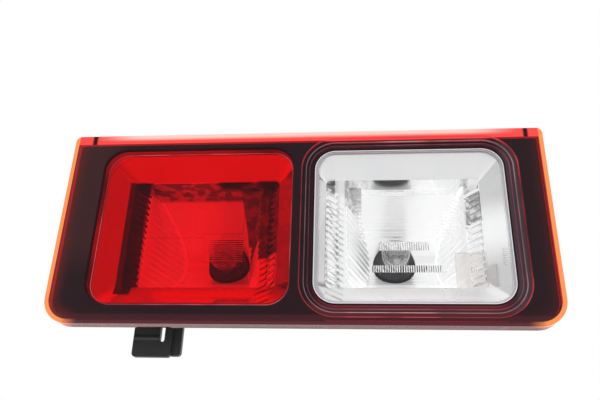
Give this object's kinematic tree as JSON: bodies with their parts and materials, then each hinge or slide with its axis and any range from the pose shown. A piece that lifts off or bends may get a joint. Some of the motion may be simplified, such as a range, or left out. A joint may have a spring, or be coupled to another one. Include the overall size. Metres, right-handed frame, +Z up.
{
  "type": "tail light cluster",
  "caption": "Wide rectangular rear lamp: red fog chamber beside a clear reversing chamber under one stepped lens, on a black housing with screw bosses and plug sockets.",
  "frame": {"origin": "middle between the two rear screw bosses, on their mounting faces", "axes": "+X along the lamp to the reversing side, +Y out of the rear bosses, away from the lens, +Z up"},
  "size_m": [0.25, 0.0932, 0.1125],
  "materials": {
    "lens_red": "clear red moulded acrylic, polished",
    "lens_clear": "clear moulded acrylic, polished, fluted inside",
    "black_gloss": "black moulded tray",
    "reflector": "aluminised moulding",
    "housing_black": "black moulded plastic, fine grain",
    "holder_plastic": "dark grey moulded plastic",
    "seal_rubber": "soft black rubber",
    "bulb_glass": "thin clear blown glass",
    "tungsten": "drawn wire coil",
    "steel": "zinc plated",
    "brass": "turned or stamped brass",
    "membrane": "white porous film"
  },
  "bodies": {
    "root": {"outer_lens": "lens_red", "reverse_lens": "lens_clear", "bezel": "black_gloss", "fog_reflector": "reflector", "reverse_reflector": "reflector", "housing": "housing_black", "lens_seal": "seal_rubber", "fog_bulb_glass": "bulb_glass", "fog_bulb_filament": "tungsten", "fog_bulb_leads": "steel", "fog_bulb_holder": "holder_plastic", "fog_holder_contacts": "brass", "fog_holder_seal": "seal_rubber", "reverse_bulb_glass": "bulb_glass", "reverse_bulb_filament": "tungsten", "reverse_bulb_leads": "steel", "reverse_bulb_holder": "holder_plastic", "reverse_holder_contacts": "brass", "reverse_holder_seal": "seal_rubber", "mount_inserts": "brass", "reflector_screws": "steel", "breather_membrane": "membrane", "breather_cap": "seal_rubber"}
  },
  "joints": []
}
